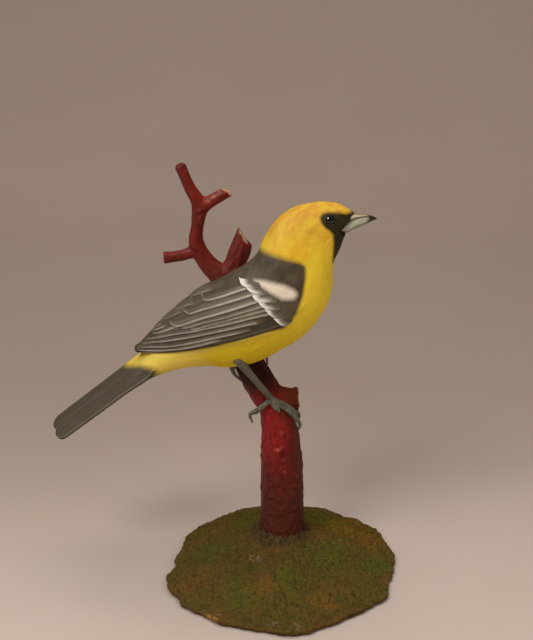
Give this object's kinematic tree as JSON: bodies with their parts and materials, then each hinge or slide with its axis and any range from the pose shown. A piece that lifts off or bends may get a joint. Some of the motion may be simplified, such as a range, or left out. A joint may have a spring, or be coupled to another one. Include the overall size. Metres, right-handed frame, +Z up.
{
  "type": "carved bird ornament",
  "caption": "Carved and painted wooden songbird with glass eyes, perched on a red-painted branch that stands in a round mossy mound.",
  "frame": {"origin": "middle of the mound's flat underside", "axes": "+Z up, +X the way the bill points, +Y away from the side that the picture shows"},
  "size_m": [0.1734, 0.1303, 0.2083],
  "materials": {
    "bird_paint": "satin hand paint on carved wood, yellow body, dark grey-brown wings and tail, black mask",
    "eye_glass": "glossy dark glass",
    "leg_paint": "dull grey-green paint",
    "branch_paint": "semi-gloss deep red paint over bark",
    "moss_paint": "rough painted moss texture, green and ochre"
  },
  "bodies": {
    "root": {"carved_bird": "bird_paint", "left_eye": "eye_glass", "right_eye": "eye_glass", "left_leg": "leg_paint", "right_leg": "leg_paint", "branch": "branch_paint", "mossy_base": "moss_paint"}
  },
  "joints": []
}
